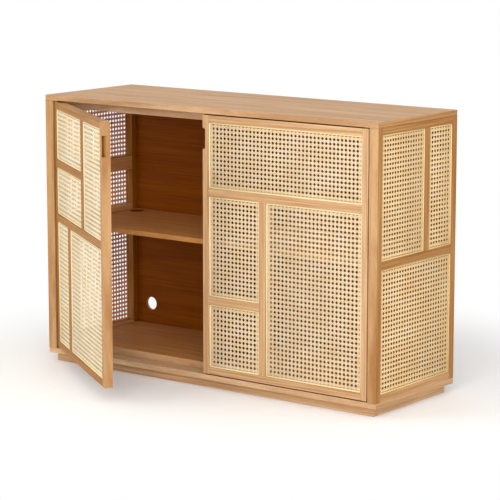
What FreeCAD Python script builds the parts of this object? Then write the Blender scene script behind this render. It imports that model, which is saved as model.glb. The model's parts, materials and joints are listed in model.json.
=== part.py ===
import FreeCAD, Part
import os
from collections import namedtuple
from types import SimpleNamespace

import Sketcher

# Low sideboard in pale oak: two inset doors and two sides framed round panels of woven cane,
# a thin top and bottom board, a raised floor with one shelf in each bay, and a set-back plinth.
# Millimetres. The origin is on the floor under the middle of the cabinet, +X runs along its length,
# +Y goes from the doors to the back and +Z is up. The left door stands part open, as photographed.

# Driving dimensions
SIZES = {
    # cabinet
    "overall_width": 1180,
    "overall_depth": 390,
    "overall_height": 800,
    "board_thick": 16,
    "board_ease": 1,
    "plinth_height": 25,
    "plinth_inset": 18,
    "plinth_thick": 18,
    "stretcher_width": 70,
    "dowel_diameter": 8,
    "dowel_in_post": 14,
    "dowel_in_board": 10,
    "dowel_clear": 0.1,
    # framed walls
    "side_thick": 28,
    "door_thick": 25,
    "post_face": 22,
    "edge_face": 20,
    "mid_face": 23,
    "recess": 4,
    "ledge": 9,
    "groove_width": 6,
    "groove_depth": 5,
    "cane_thick": 1.4,
    "weave_pitch": 84,
    "spline_proud": 0.8,
    "fit_clear": 0.1,
    # layout of the side panels
    "side_main_rail": 413.5,
    "side_mullion": 241.5,
    "left_side_short_rail": 563,
    # layout of the doors, mullions measured from the hinge edge or the meeting edge
    "left_main_rail": 439,
    "left_short_rail": 601.5,
    "left_upper_mullion": 329,
    "left_lower_mullion": 163,
    "right_main_rail": 564,
    "right_short_rail": 256.5,
    "right_mullion": 208,
    # hanging of the doors
    "side_gap": 2.5,
    "end_gap": 3.2,
    "meeting_gap": 2,
    "left_door_open": 34.6,
    "pivot_in": 10,
    "pivot_back": 6,
    "pin_diameter": 6,
    "pin_clear": 0.05,
    "pin_in_door": 18,
    "pin_in_bush": 9,
    "bush_diameter": 8,
    "bush_depth": 11,
    "flange_diameter": 11,
    "flange_rest": 0.3,
    # finger pull in the meeting stiles
    "pull_drop": 37,
    "pull_height": 59,
    "pull_depth": 9,
    "pull_corner": 5.5,
    "pull_lip": 2.5,
    "pull_cove": 14,
    "pull_cove_floor": 4.5,
    "pull_cove_corner": 3,
    "pull_back": 14,
    # magnetic catch
    "catch_width": 7,
    "catch_length": 30,
    "catch_offset": 6.5,
    "catch_height": 600,
    "magnet_depth": 6,
    "magnet_proud": 1.5,
    "strike_thick": 1.5,
    # inside
    "inner_setback": 48,
    "ceiling_thick": 25,
    "floor_thick": 21,
    "panel_clear": 0.2,
    "divider_thick": 22,
    "divider_gap": 2,
    "back_thick": 9,
    "back_inset": 2,
    "back_hole": 40,
    "back_hole_side": 56,
    "back_hole_height": 124,
    "shelf_top": 419,
    "shelf_thick": 14,
    "shelf_clear": 0.5,
    "shelf_hole": 45,
    "shelf_hole_side": 37,
    "shelf_hole_back": 43,
    "shelf_pin": 5,
    "shelf_pin_seat": 7,
    "shelf_pin_reach": 8,
    "shelf_pin_inset": 60,
}


class Size:
    """A length that carries its number and the sheet formula that the number comes from."""

    def __init__(self, text, value):
        self.text = text
        self.value = value

    def joined(self, sign, other, value):
        return Size("(%s %s %s)" % (self.text, sign, other.text), value)

    def __add__(self, other):
        other = size(other)
        return self.joined("+", other, self.value + other.value)

    def __sub__(self, other):
        other = size(other)
        return self.joined("-", other, self.value - other.value)

    def __mul__(self, factor):
        factor = size(factor)
        return self.joined("*", factor, self.value * factor.value)

    def __truediv__(self, divisor):
        divisor = size(divisor)
        return self.joined("/", divisor, self.value / divisor.value)

    def __neg__(self):
        return Size("(0 - %s)" % self.text, -self.value)


def size(number):
    """Give a plain number the form of a Size."""
    return number if isinstance(number, Size) else Size("%s" % number, number)


doc = FreeCAD.newDocument("Sideboard")
sheet = doc.addObject("Spreadsheet::Sheet", "Sizes")
for row, (alias, number) in enumerate(SIZES.items(), start=1):
    sheet.set("A%d" % row, alias)
    sheet.set("B%d" % row, str(number))
    sheet.setAlias("B%d" % row, alias)
doc.recompute()
d = SimpleNamespace(**{name: Size("Sizes." + name, number) for name, number in SIZES.items()})

# Share of the weave's spacing that is open, both ways: the sheets are about as open as real webbing
WEAVE_OPEN = 0.48
# Sides of a dowel or shelf pin
ROD_SIDES = 8

ZERO = size(0)
NODES = []
Cell = namedtuple("Cell", "low high bottom top")


class Wall:
    """An upright plane that pieces are set in: a turning point, a turn and an offset from the point.

    Along the wall is its own x, from its outer face inwards is its own y, and heights stay heights.
    """

    def __init__(self, x=ZERO, y=ZERO, turn=ZERO, shift_along=ZERO, shift_depth=ZERO):
        self.x = x
        self.y = y
        self.angle = "%s * 1 deg" % turn.text
        self.shift_along = shift_along
        self.shift_depth = shift_depth

    def place(self, piece, along, depth, height):
        """Bind a piece's Placement to its place along, into and up the wall."""
        across = (size(along) + self.shift_along).text
        inward = (size(depth) + self.shift_depth).text
        turned = {
            "x": "%s + %s * cos(%s) - %s * sin(%s)" % (self.x.text, across, self.angle, inward, self.angle),
            "y": "%s + %s * sin(%s) + %s * cos(%s)" % (self.y.text, across, self.angle, inward, self.angle),
            "z": size(height).text,
        }
        for axis, formula in turned.items():
            piece.setExpression("Placement.Base." + axis, formula)
        piece.setExpression("Placement.Rotation.Angle", self.angle)


# Modelling helpers
def new_body(label):
    """Start an empty body."""
    body = doc.addObject("PartDesign::Body", label)
    body.Label = label
    return body


def new_sketch(body, role, lift=ZERO):
    """Attach a sketch to one of the body's origin planes, lifted along the plane's normal."""
    sketch = body.newObject("Sketcher::SketchObject", body.Label + "_sketch")
    plane = next(feature for feature in body.Origin.OriginFeatures if feature.Role == role)
    sketch.AttachmentSupport = (plane, [""])
    sketch.MapMode = "FlatFace"
    sketch.setExpression("AttachmentOffset.Base.z", lift.text)
    return sketch


def fix_point(sketch, geometry, point, place):
    """Tie one point of a sketch to formulas for its two distances from the origin."""
    for axis, distance in zip("XY", place):
        distance = size(distance)
        index = sketch.addConstraint(
            Sketcher.Constraint("Distance" + axis, -1, 1, geometry, point, distance.value))
        sketch.setExpression("Constraints[%d]" % index, distance.text)


def add_outline(sketch, points):
    """Draw a closed outline of straight lines through the points."""
    corners = [FreeCAD.Vector(size(x).value, size(y).value, 0) for x, y in points]
    lines = [sketch.addGeometry(Part.LineSegment(corner, corners[(index + 1) % len(corners)]))
             for index, corner in enumerate(corners)]
    for index, line in enumerate(lines):
        sketch.addConstraint(Sketcher.Constraint("Coincident", line, 2, lines[(index + 1) % len(lines)], 1))
        fix_point(sketch, line, 1, points[index])


def add_rectangle(sketch, x, y, width, height):
    """Draw a rectangle from its low corner."""
    x, y = size(x), size(y)
    add_outline(sketch, [(x, y), (x + width, y), (x + width, y + height), (x, y + height)])


def add_circle(sketch, x, y, diameter):
    """Draw a circle."""
    centre = FreeCAD.Vector(size(x).value, size(y).value, 0)
    circle = sketch.addGeometry(Part.Circle(centre, FreeCAD.Vector(0, 0, 1), diameter.value / 2))
    fix_point(sketch, circle, 3, (x, y))
    index = sketch.addConstraint(Sketcher.Constraint("Diameter", circle, diameter.value))
    sketch.setExpression("Constraints[%d]" % index, diameter.text)


def add_feature(body, kind, sketch, length, backwards):
    """Pad or pocket a sketch, along its normal for a pad and against it for a pocket."""
    feature = body.newObject("PartDesign::" + kind, body.Label + "_" + kind.lower())
    feature.Profile = sketch
    feature.Reversed = backwards
    if length is None:
        feature.Type = "ThroughAll"
    else:
        feature.setExpression("Length", size(length).text)
    return feature


def pad(body, sketch, length, backwards=False):
    """Build up a sketch."""
    return add_feature(body, "Pad", sketch, length, backwards)


def pocket(body, sketch, length=None, backwards=False):
    """Cut a sketch away, right through where no length is given."""
    return add_feature(body, "Pocket", sketch, length, backwards)


def box(label, low, high):
    """A plain board between two corners."""
    board = doc.addObject("Part::Box", label)
    board.Label = label
    for axis, side, start, end in zip("xyz", ("Length", "Width", "Height"), low, high):
        board.setExpression(side, (size(end) - start).text)
        board.setExpression("Placement.Base." + axis, size(start).text)
    return board


def group(label, pieces):
    """Gather like pieces, each still a solid of its own, under one name."""
    gathered = doc.addObject("Part::Compound", label)
    gathered.Label = label
    gathered.Links = pieces
    return gathered


def node(piece):
    """List a piece as a finished sub-part."""
    NODES.append(piece)
    return piece


def dress_edges(body, feature, kind, dimension, reach, chosen):
    """Fillet or chamfer the edges of a feature that the test picks out."""
    doc.recompute()
    names = ["Edge%d" % number for number, edge in enumerate(feature.Shape.Edges, start=1) if chosen(edge)]
    dressed = body.newObject("PartDesign::" + kind, body.Label + "_" + kind.lower())
    dressed.Base = (feature, names)
    dressed.setExpression(dimension, reach.text)
    return dressed


def round_edges(body, feature, radius, chosen):
    """Fillet the edges of a feature that the test picks out."""
    return dress_edges(body, feature, "Fillet", "Radius", radius, chosen)


def edge_runs(edge, direction, **place):
    """Tell whether a straight edge runs along a direction through the given coordinates."""
    first, last = edge.Vertexes[0].Point, edge.Vertexes[-1].Point
    along = last - first
    parallel = along.Length > 0.01 and abs(along.dot(direction)) > 0.999 * along.Length
    return parallel and all(abs(getattr(first, axis) - level.value) < 0.01 for axis, level in place.items())


# Levels and lines shared by several pieces
half_width = d.overall_width / 2
half_depth = d.overall_depth / 2
base_top = d.plinth_height + d.board_thick
top_underside = d.overall_height - d.board_thick
inner_half = half_width - d.side_thick
inner_front = -half_depth + d.inner_setback
back_front = half_depth - d.back_inset - d.back_thick
floor_top = base_top + d.floor_thick
ceiling_underside = top_underside - d.ceiling_thick
door_bottom = base_top + d.end_gap
door_top = top_underside - d.end_gap
door_width = inner_half - d.side_gap - d.meeting_gap / 2
door_back = -half_depth + d.door_thick
pivot_x = inner_half - d.side_gap - d.pivot_in
pivot_y = -half_depth + d.pivot_back
divider_front = door_back + d.divider_gap
half_divider = d.divider_thick / 2
shelf_under = d.shelf_top - d.shelf_thick
CABINET = Wall()
X_AXIS, Y_AXIS, Z_AXIS = FreeCAD.Vector(1, 0, 0), FreeCAD.Vector(0, 1, 0), FreeCAD.Vector(0, 0, 1)


# Framed walls: stiles, posts and mullions stand, rails lie between them, and each opening holds cane
def section(face, thick, low_ledge, high_ledge):
    """Outline of a frame member: its visible face, and behind it a ledge beside each cane panel."""
    low = d.ledge if low_ledge else ZERO
    points = [(low, ZERO), (low + face, ZERO)]
    if high_ledge:
        points += [(low + face, d.recess), (low + face + d.ledge, d.recess), (low + face + d.ledge, thick)]
    else:
        points += [(low + face, thick)]
    if low_ledge:
        points += [(ZERO, thick), (ZERO, d.recess), (low, d.recess)]
    else:
        points += [(ZERO, thick)]
    return points


def band(centre):
    """The two edges of a middle member that is centred on a line."""
    return centre - d.mid_face / 2, centre + d.mid_face / 2


def cut_grooves(body, cells, along, height):
    """Rout the spline groove of each neighbouring opening into a member's ledges."""
    for cell in cells:
        sketch = new_sketch(body, "XZ_Plane")
        low, bottom = cell.low - along, cell.bottom - height
        width, tall = cell.high - cell.low, cell.top - cell.bottom
        add_rectangle(sketch, low, bottom, width, tall)
        add_rectangle(sketch, low + d.groove_width, bottom + d.groove_width,
                      width - d.groove_width * 2, tall - d.groove_width * 2)
        pocket(body, sketch, d.recess + d.groove_depth)


def upright(label, wall, low, face, thick, bottom, top, low_cells=(), high_cells=(), coped=False):
    """A standing member whose face starts at low; a coped one laps over the rails it stands between."""
    body = new_body(label)
    origin = low - d.ledge if low_cells else low
    sketch = new_sketch(body, "XY_Plane")
    add_outline(sketch, section(face, thick, low_cells, high_cells))
    length = top - bottom
    pad(body, sketch, length)
    if coped:
        cut = new_sketch(body, "YZ_Plane")
        for end in (ZERO, length - d.ledge):
            add_rectangle(cut, d.recess, end, thick - d.recess, d.ledge)
        pocket(body, cut, backwards=True)
    cut_grooves(body, tuple(low_cells) + tuple(high_cells), origin, bottom)
    wall.place(body, origin, ZERO, bottom)
    return node(body)


def rail(label, wall, low, high, face, thick, bottom, under_cells=(), over_cells=()):
    """A lying member between two uprights, whose ends are coped over their ledges."""
    body = new_body(label)
    origin = bottom - d.ledge if under_cells else bottom
    sketch = new_sketch(body, "YZ_Plane")
    add_outline(sketch, [(depth, across) for across, depth in section(face, thick, under_cells, over_cells)])
    length = high - low
    pad(body, sketch, length)
    cut = new_sketch(body, "XY_Plane")
    for end in (ZERO, length - d.ledge):
        add_rectangle(cut, end, d.recess, d.ledge, thick - d.recess)
    pocket(body, cut, backwards=True)
    cut_grooves(body, tuple(under_cells) + tuple(over_cells), low, origin)
    wall.place(body, low, ZERO, origin)
    return node(body)


def open_weave(body, cell, turned_edge):
    """Cut a cane sheet's openings: a plain grid, coarser than real webbing and clear of the ledges."""
    clear = [cell.high - cell.low - d.ledge * 2, cell.top - cell.bottom - d.ledge * 2]
    counts = [max(2, round(length.value / d.weave_pitch.value)) for length in clear]
    across, up = [length / count for length, count in zip(clear, counts)]
    first = d.ledge - turned_edge
    sketch = new_sketch(body, "XZ_Plane")
    half_bar = (1 - WEAVE_OPEN) / 2
    add_rectangle(sketch, first + across * half_bar, first + up * half_bar,
                  across * WEAVE_OPEN, up * WEAVE_OPEN)
    opening = pocket(body, sketch)
    grid = body.newObject("PartDesign::LinearPattern", body.Label + "_weave")
    grid.Originals = [opening]
    for suffix, axis, step, count in (("", "H_Axis", across, counts[0]), ("2", "V_Axis", up, counts[1])):
        setattr(grid, "Direction" + suffix, (sketch, [axis]))
        setattr(grid, "Occurrences" + suffix, count)
        grid.setExpression("Length" + suffix, (step * (count - 1)).text)
    body.Tip = grid


def cane_panels(name, wall, cells):
    """A cane sheet in each opening, its edges turned down into the groove, and the splines over them."""
    sheets, splines = [], []
    turned_edge = d.groove_width - d.cane_thick
    spline_width = turned_edge - d.fit_clear * 2
    for number, cell in enumerate(cells, start=1):
        width, tall = cell.high - cell.low, cell.top - cell.bottom
        sheet_body = new_body("%s_cane_%d" % (name, number))
        face = new_sketch(sheet_body, "XZ_Plane")
        add_rectangle(face, ZERO, ZERO, width - turned_edge * 2, tall - turned_edge * 2)
        pad(sheet_body, face, d.cane_thick, backwards=True)
        edge = new_sketch(sheet_body, "XZ_Plane")
        add_rectangle(edge, ZERO, ZERO, width - turned_edge * 2, tall - turned_edge * 2)
        inner = d.cane_thick - d.fit_clear
        add_rectangle(edge, inner, inner, width - (turned_edge + inner) * 2, tall - (turned_edge + inner) * 2)
        pad(sheet_body, edge, d.cane_thick + d.groove_depth - d.fit_clear, backwards=True)
        open_weave(sheet_body, cell, turned_edge)
        wall.place(sheet_body, cell.low + turned_edge, d.recess - d.cane_thick, cell.bottom + turned_edge)
        sheets.append(sheet_body)

        spline = new_body("%s_spline_%d" % (name, number))
        ring = new_sketch(spline, "XZ_Plane")
        outer_width, outer_tall = width - d.fit_clear * 2, tall - d.fit_clear * 2
        add_rectangle(ring, ZERO, ZERO, outer_width, outer_tall)
        add_rectangle(ring, spline_width, spline_width,
                      outer_width - spline_width * 2, outer_tall - spline_width * 2)
        spline_front = d.recess - d.cane_thick - d.spline_proud
        pad(spline, ring, d.recess + d.groove_depth - d.fit_clear - spline_front, backwards=True)
        wall.place(spline, cell.low + d.fit_clear, spline_front, cell.bottom + d.fit_clear)
        splines.append(spline)
    node(group(name + "_cane", sheets))
    node(group(name + "_splines", splines))


def end_hole(body, x, y, height, diameter, depth, downwards):
    """Bore a blind hole into the top or the bottom end of a standing piece."""
    sketch = new_sketch(body, "XY_Plane", height)
    add_circle(sketch, x, y, diameter)
    pocket(body, sketch, depth, backwards=not downwards)


def finger_pull(body, edge_x, inward, stile_bottom):
    """Cut a finger pull into a meeting stile: a notch through the front lip, and a cove behind it.

    edge_x is the meeting edge in the stile's own frame, and inward is 1 or -1, away from that edge.
    """
    bottom = door_top - d.pull_drop - d.pull_height - stile_bottom
    top = bottom + d.pull_height
    notch_x = edge_x + d.pull_depth * inward
    cove_x = edge_x + d.pull_cove * inward
    notch = new_sketch(body, "XZ_Plane")
    add_outline(notch, [(edge_x, bottom), (notch_x, bottom), (notch_x, top), (edge_x, top)])
    cut = pocket(body, notch, d.pull_lip)
    round_edges(body, cut, d.pull_corner,
                lambda edge: any(edge_runs(edge, Y_AXIS, x=notch_x, z=level) for level in (bottom, top)))
    cove = new_sketch(body, "XY_Plane", bottom)
    cove_floor = d.pull_lip + d.pull_cove_floor
    add_outline(cove, [(edge_x, d.pull_lip), (cove_x, d.pull_lip), (cove_x, cove_floor),
                       (edge_x, d.pull_back)])
    cut = pocket(body, cove, d.pull_height, backwards=True)
    round_edges(body, cut, d.pull_cove_corner, lambda edge: edge_runs(edge, Z_AXIS, x=cove_x, y=cove_floor))


# Sides of the cabinet
side_low = base_top + d.edge_face
side_high = top_underside - d.edge_face
main_low, main_high = band(d.side_main_rail)
side_end = d.overall_depth - d.post_face


def build_side(name, wall, low_post, high_post, mullion=None, short_rail=None):
    """One side: two corner posts, three rails, and cane in every opening.

    Its upper half is parted by a mullion, given along the wall, or else by a short rail, given by height.
    """
    lower = Cell(d.post_face, side_end, side_low, main_low)
    if short_rail is None:
        low, high = band(mullion)
        low_cells = [Cell(d.post_face, low, main_high, side_high)]
        high_cells = [Cell(high, side_end, main_high, side_high)]
        upper = main_cells = top_cells = low_cells + high_cells
        upright(name + "_mullion", wall, low, d.mid_face, d.side_thick, main_high, side_high,
                low_cells=low_cells, high_cells=high_cells, coped=True)
    else:
        low, high = band(short_rail)
        main_cells = [Cell(d.post_face, side_end, main_high, low)]
        top_cells = [Cell(d.post_face, side_end, high, side_high)]
        upper = low_cells = high_cells = main_cells + top_cells
        rail(name + "_short_rail", wall, d.post_face, side_end, d.mid_face, d.side_thick, low,
             under_cells=main_cells, over_cells=top_cells)
    posts = [upright(low_post, wall, ZERO, d.post_face, d.side_thick, base_top, top_underside,
                     high_cells=[lower] + low_cells),
             upright(high_post, wall, side_end, d.post_face, d.side_thick, base_top, top_underside,
                     low_cells=[lower] + high_cells)]
    for post, centre_x in zip(posts, (d.post_face / 2, d.ledge + d.post_face / 2)):
        bore = d.dowel_diameter + d.dowel_clear * 2
        end_hole(post, centre_x, d.side_thick / 2, ZERO, bore, d.dowel_in_post + d.dowel_clear, False)
        end_hole(post, centre_x, d.side_thick / 2, top_underside - base_top, bore,
                 d.dowel_in_post + d.dowel_clear, True)
    rail(name + "_top_rail", wall, d.post_face, side_end, d.edge_face, d.side_thick, side_high,
         under_cells=top_cells)
    main_rail = rail(name + "_main_rail", wall, d.post_face, side_end, d.mid_face, d.side_thick, main_low,
                     under_cells=[lower], over_cells=main_cells)
    rail(name + "_bottom_rail", wall, d.post_face, side_end, d.edge_face, d.side_thick, base_top,
         over_cells=[lower])
    cane_panels(name, wall, [lower] + upper)
    return main_rail


RIGHT_SIDE = Wall(half_width, -half_depth, size(90))
LEFT_SIDE = Wall(-half_width, half_depth, size(-90))
right_main = build_side("right_side", RIGHT_SIDE, "front_right_post", "back_right_post",
                        mullion=d.side_mullion)
left_main = build_side("left_side", LEFT_SIDE, "back_left_post", "front_left_post",
                       short_rail=d.left_side_short_rail)

# Shelf pins rest in holes in the main rails of the sides and in the divider
pin_lines = (inner_front + d.shelf_pin_inset, back_front - d.shelf_pin_inset)
pin_height = shelf_under - d.shelf_pin / 2
pin_bore = d.shelf_pin + d.fit_clear * 2
rail_base = main_low - d.ledge
for body, rail_x in ((right_main, lambda y: y + half_depth - d.post_face),
                     (left_main, lambda y: half_depth - y - d.post_face)):
    holes = new_sketch(body, "XZ_Plane", -d.side_thick)
    for line in pin_lines:
        add_circle(holes, rail_x(line), pin_height - rail_base, pin_bore)
    pocket(body, holes, d.shelf_pin_seat + d.fit_clear, backwards=True)


# Top and bottom boards, held to the posts by dowels, with a bush for each door pivot
post_x = half_width - d.side_thick / 2
post_y = half_depth - d.post_face / 2
post_centres = [(x, y) for x in (-post_x, post_x) for y in (-post_y, post_y)]
pivot_centres = [(-pivot_x, pivot_y), (pivot_x, pivot_y)]


def wide_board(label, bottom, drilled_face, downwards):
    """A full-size board with eased edges, drilled in one face for the dowels and the pivot bushes."""
    body = new_body(label)
    sketch = new_sketch(body, "XY_Plane")
    add_rectangle(sketch, -half_width, -half_depth, d.overall_width, d.overall_depth)
    board = pad(body, sketch, d.board_thick)
    dress_edges(body, board, "Chamfer", "Size", d.board_ease, lambda edge: True)
    drillings = ((post_centres, d.dowel_diameter + d.dowel_clear * 2, d.dowel_in_board + d.dowel_clear),
                 (pivot_centres, d.bush_diameter + d.fit_clear * 2, d.bush_depth + d.fit_clear))
    for centres, diameter, depth in drillings:
        holes = new_sketch(body, "XY_Plane", drilled_face)
        for x, y in centres:
            add_circle(holes, x, y, diameter)
        pocket(body, holes, depth, backwards=not downwards)
    CABINET.place(body, ZERO, ZERO, bottom)
    return node(body)


def round_rod(label, diameter, length):
    """A round rod along its own z axis."""
    rod = doc.addObject("Part::Cylinder", label)
    rod.setExpression("Radius", (diameter / 2).text)
    rod.setExpression("Height", length.text)
    return rod


def faceted_rod(label, diameter, length):
    """A rod along its own z axis with a few flat sides, for small round pieces that come in numbers."""
    rod = doc.addObject("Part::Prism", label)
    rod.Polygon = ROD_SIDES
    rod.setExpression("Circumradius", (diameter / 2).text)
    rod.setExpression("Height", length.text)
    return rod


def stood(rod, wall, along, depth, bottom):
    """Stand a rod upright in a wall."""
    wall.place(rod, along, depth, bottom)
    return rod


def pivot_bush(label, x, y, height, outward):
    """A flanged bush let into a board; outward is 1 where its flange lies above the board, else -1."""
    body = new_body(label)
    bore = d.pin_diameter / 2 + d.pin_clear
    barrel, flange = d.bush_diameter / 2, d.flange_diameter / 2
    foot, face = d.bush_depth * -outward, (d.end_gap - d.flange_rest) * outward
    half = new_sketch(body, "XZ_Plane")
    add_outline(half, [(bore, foot), (barrel, foot), (barrel, ZERO), (flange, ZERO),
                       (flange, face), (bore, face)])
    turned = body.newObject("PartDesign::Revolution", label + "_turned")
    turned.Profile = half
    turned.ReferenceAxis = (half, ["V_Axis"])
    turned.Angle = 360
    CABINET.place(body, x, y, height)
    return body


wide_board("top_board", top_underside, ZERO, downwards=False)
wide_board("bottom_board", d.plinth_height, d.board_thick, downwards=True)
dowel_length = d.dowel_in_post + d.dowel_in_board
dowel_feet = (base_top - d.dowel_in_board, top_underside - d.dowel_in_post)
node(group("carcass_dowels", [
    stood(faceted_rod("dowel", d.dowel_diameter, dowel_length), CABINET, x, y, foot)
    for x, y in post_centres for foot in dowel_feet]))
node(group("pivot_bushes", [
    pivot_bush("pivot_bush", x, y, height, outward)
    for x, y in pivot_centres for height, outward in ((base_top, 1), (top_underside, -1))]))

# Inside of the cabinet
inner_reach = inner_half - d.panel_clear
node(box("floor_panel", (-inner_reach, inner_front, base_top), (inner_reach, back_front, floor_top)))
node(box("ceiling_panel", (-inner_reach, inner_front, ceiling_underside),
         (inner_reach, back_front, top_underside)))

back_panel = new_body("back_panel")
back_outline = new_sketch(back_panel, "XZ_Plane")
back_bottom = base_top + d.panel_clear
add_rectangle(back_outline, -inner_reach, ZERO, inner_reach * 2, top_underside - d.panel_clear - back_bottom)
add_circle(back_outline, d.back_hole_side - inner_half, d.back_hole_height - back_bottom, d.back_hole)
pad(back_panel, back_outline, d.back_thick, backwards=True)
CABINET.place(back_panel, ZERO, back_front, back_bottom)
node(back_panel)

divider = new_body("centre_divider")
divider_plan = new_sketch(divider, "XY_Plane")
add_rectangle(divider_plan, -half_divider, ZERO, d.divider_thick, back_front - divider_front)
pad(divider, divider_plan, ceiling_underside - floor_top)
magnet_seats = new_sketch(divider, "XZ_Plane")
seat_width, seat_length = d.catch_width + d.fit_clear * 2, d.catch_length + d.fit_clear * 2
for centre in (-d.catch_offset, d.catch_offset):
    add_rectangle(magnet_seats, centre - seat_width / 2, d.catch_height - floor_top - seat_length / 2,
                  seat_width, seat_length)
pocket(divider, magnet_seats, d.magnet_depth + d.fit_clear)
divider_pin_holes = new_sketch(divider, "YZ_Plane", -half_divider)
for line in pin_lines:
    add_circle(divider_pin_holes, line - divider_front, pin_height - floor_top, pin_bore)
pocket(divider, divider_pin_holes, backwards=True)
CABINET.place(divider, ZERO, divider_front, floor_top)
node(divider)

magnet_low, magnet_high = d.catch_height - d.catch_length / 2, d.catch_height + d.catch_length / 2
node(group("catch_magnets", [
    box("catch_magnet", (centre - d.catch_width / 2, divider_front - d.magnet_proud, magnet_low),
        (centre + d.catch_width / 2, divider_front + d.magnet_depth, magnet_high))
    for centre in (-d.catch_offset, d.catch_offset)]))


def shelf(label, low, hole_x):
    """A shelf for one bay, with a cable hole near the outer back corner."""
    body = new_body(label)
    plan = new_sketch(body, "XY_Plane")
    width = inner_half - half_divider - d.shelf_clear * 2
    depth = back_front - d.shelf_clear - inner_front
    add_rectangle(plan, ZERO, ZERO, width, depth)
    add_circle(plan, hole_x - low, back_front - d.shelf_hole_back - inner_front, d.shelf_hole)
    pad(body, plan, d.shelf_thick)
    CABINET.place(body, low, inner_front, shelf_under)
    return node(body)


shelf_hole_x = inner_half - d.shelf_hole_side
shelf("left_shelf", -inner_half + d.shelf_clear, -shelf_hole_x)
shelf("right_shelf", half_divider + d.shelf_clear, shelf_hole_x)


def shelf_pin(start, y):
    """A pin lying along X under a shelf."""
    pin = faceted_rod("shelf_pin", d.shelf_pin, d.shelf_pin_seat + d.shelf_pin_reach)
    pin.Placement.Rotation = FreeCAD.Rotation(Y_AXIS, 90)
    for axis, place in zip("xyz", (start, y, pin_height)):
        pin.setExpression("Placement.Base." + axis, place.text)
    return pin


pin_starts = (-inner_half - d.shelf_pin_seat, -half_divider - d.shelf_pin_reach,
              half_divider - d.shelf_pin_seat, inner_half - d.shelf_pin_reach)
node(group("shelf_pins", [shelf_pin(start, line) for start in pin_starts for line in pin_lines]))

# Plinth: a frame of four boards set back under the bottom board, and a stretcher across its middle
plinth_x, plinth_y = half_width - d.plinth_inset, half_depth - d.plinth_inset
plinth_inner = plinth_y - d.plinth_thick
half_stretcher = d.stretcher_width / 2
node(box("plinth_front", (-plinth_x, -plinth_y, ZERO), (plinth_x, -plinth_inner, d.plinth_height)))
node(box("plinth_back", (-plinth_x, plinth_inner, ZERO), (plinth_x, plinth_y, d.plinth_height)))
node(group("plinth_ends", [
    box("plinth_end", (low, -plinth_inner, ZERO), (low + d.plinth_thick, plinth_inner, d.plinth_height))
    for low in (-plinth_x, plinth_x - d.plinth_thick)]))
node(box("plinth_stretcher", (-half_stretcher, -plinth_inner, ZERO),
         (half_stretcher, plinth_inner, d.plinth_height)))

# Doors
door_low = door_bottom + d.edge_face
door_high = door_top - d.edge_face
stile_end = door_width - d.edge_face
LEFT_DOOR = Wall(-pivot_x, pivot_y, -d.left_door_open, -d.pivot_in, -d.pivot_back)
RIGHT_DOOR = Wall(pivot_x, pivot_y, ZERO, d.pivot_in - door_width, -d.pivot_back)


def hang(name, wall, hinge_stile, pin_along, pin_in_stile):
    """Bore both ends of a hinge stile and fit a pivot pin in each."""
    bore = d.pin_diameter + d.fit_clear * 2
    stile_length = door_top - door_bottom
    for height, downwards in ((ZERO, False), (stile_length, True)):
        end_hole(hinge_stile, pin_in_stile, d.pivot_back, height, bore,
                 d.pin_in_door + d.fit_clear, downwards)
    outside = d.end_gap + d.pin_in_bush
    node(group(name + "_pivot_pins", [
        stood(round_rod(name + "_pivot_pin", d.pin_diameter, d.pin_in_door + outside), wall, pin_along,
              d.pivot_back, foot)
        for foot in (door_bottom - outside, door_top - d.pin_in_door)]))


def fit_strike(name, wall, meeting_stile, strike_along, strike_in_stile):
    """Let a steel strike plate into the back of a meeting stile, facing the magnet in the divider."""
    low = d.catch_height - d.catch_length / 2
    seat = new_sketch(meeting_stile, "XZ_Plane", -d.door_thick)
    add_rectangle(seat, strike_in_stile - seat_width / 2, low - d.fit_clear - door_bottom,
                  seat_width, seat_length)
    pocket(meeting_stile, seat, d.strike_thick, backwards=True)
    plate = box(name + "_strike_plate", (ZERO, ZERO, ZERO), (d.catch_width, d.strike_thick, d.catch_length))
    wall.place(plate, strike_along - d.catch_width / 2, d.door_thick - d.strike_thick, low)
    node(plate)


def door_edges(name, wall, low_name, high_name, low_cells, high_cells, top_cells, bottom_cells):
    """The outer frame of a door: two stiles, a top rail and a bottom rail."""
    low_stile = upright(name + low_name, wall, ZERO, d.edge_face, d.door_thick, door_bottom, door_top,
                        high_cells=low_cells)
    high_stile = upright(name + high_name, wall, stile_end, d.edge_face, d.door_thick, door_bottom, door_top,
                         low_cells=high_cells)
    rail(name + "_top_rail", wall, d.edge_face, stile_end, d.edge_face, d.door_thick, door_high,
         under_cells=top_cells)
    rail(name + "_bottom_rail", wall, d.edge_face, stile_end, d.edge_face, d.door_thick, door_bottom,
         over_cells=bottom_cells)
    return low_stile, high_stile


strike_inset = d.catch_offset - d.meeting_gap / 2


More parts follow.
